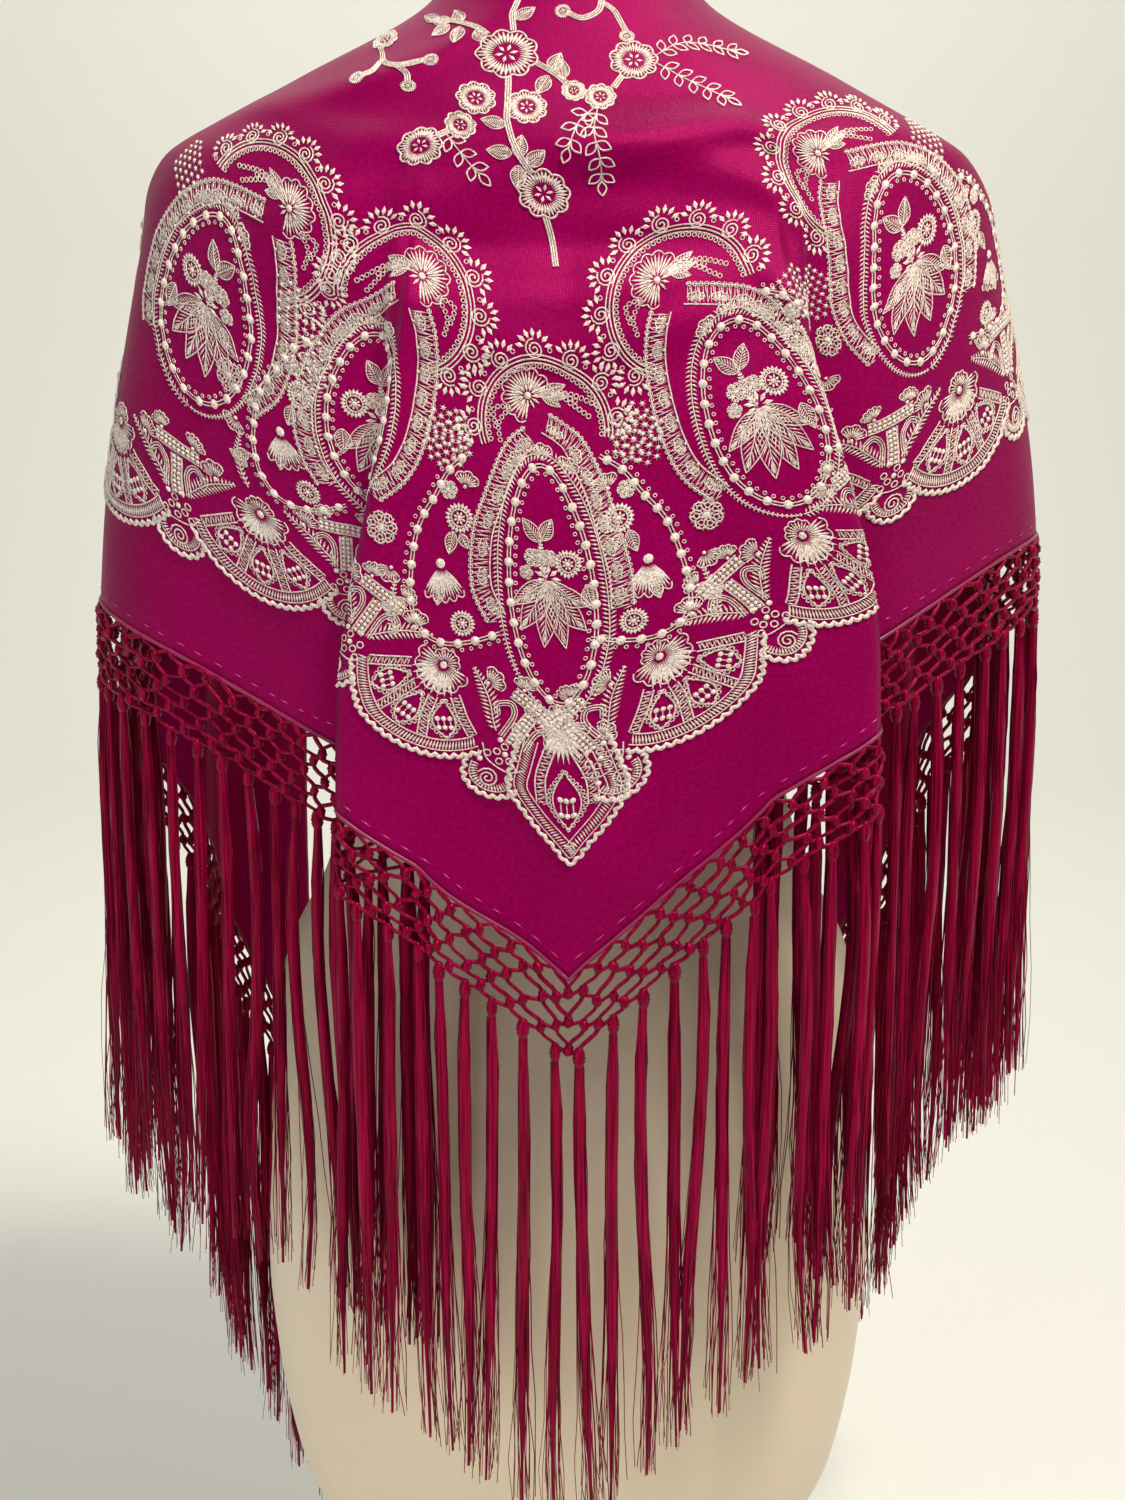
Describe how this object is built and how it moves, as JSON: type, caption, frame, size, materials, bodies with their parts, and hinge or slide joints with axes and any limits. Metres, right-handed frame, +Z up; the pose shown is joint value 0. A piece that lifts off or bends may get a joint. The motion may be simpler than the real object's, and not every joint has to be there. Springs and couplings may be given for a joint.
{
  "type": "flamenco shawl on a dress form",
  "caption": "Triangular fringed flamenco shawl draped over the shoulders of a limbless dress form on a low round stand.",
  "frame": {"origin": "centre of the stand's underside, on the surface that it stands on", "axes": "+Z up; the garment's back faces -Y, and +X is on the right of someone who looks at that back"},
  "size_m": [0.5395, 0.3089, 1.09],
  "materials": {
    "silk": "magenta crepe-backed silk satin, softly shining, with cream embroidery",
    "fringe": "burgundy twisted silk cord, knotted into a net and left in loose tassels",
    "form": "smooth cream plastic",
    "stand": "brushed"
  },
  "bodies": {
    "root": {"silk_panel": "silk", "fringe_left": "fringe", "fringe_right": "fringe", "dress_form": "form", "stand_pole": "stand", "stand_base": "stand"}
  },
  "joints": []
}
